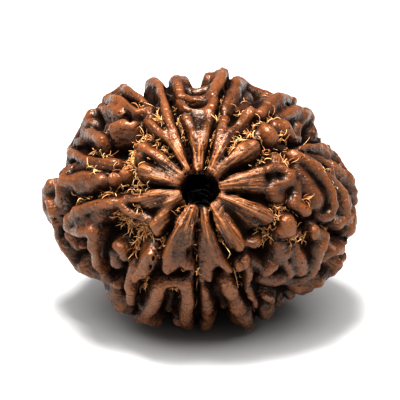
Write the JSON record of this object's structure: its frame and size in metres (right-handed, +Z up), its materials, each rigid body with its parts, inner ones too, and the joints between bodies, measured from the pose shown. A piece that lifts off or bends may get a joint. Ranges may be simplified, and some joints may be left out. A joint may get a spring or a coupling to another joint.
{
  "type": "nine mukhi rudraksha bead",
  "caption": "Dried rudraksha fruit stone with a thread hole, deep clefts from pole to pole and knobbly ribs between them.",
  "frame": {"origin": "on the surface that the stone rests on, under the middle of its bounding box", "axes": "+Z up, +X across the stone's widest way, and the thread hole rises 30 degrees towards -Y"},
  "size_m": [0.0265, 0.0225, 0.0213],
  "materials": {
    "stone": "satin, hard and dry, with dark crevices"
  },
  "bodies": {
    "root": {"bead": "stone"}
  },
  "joints": []
}
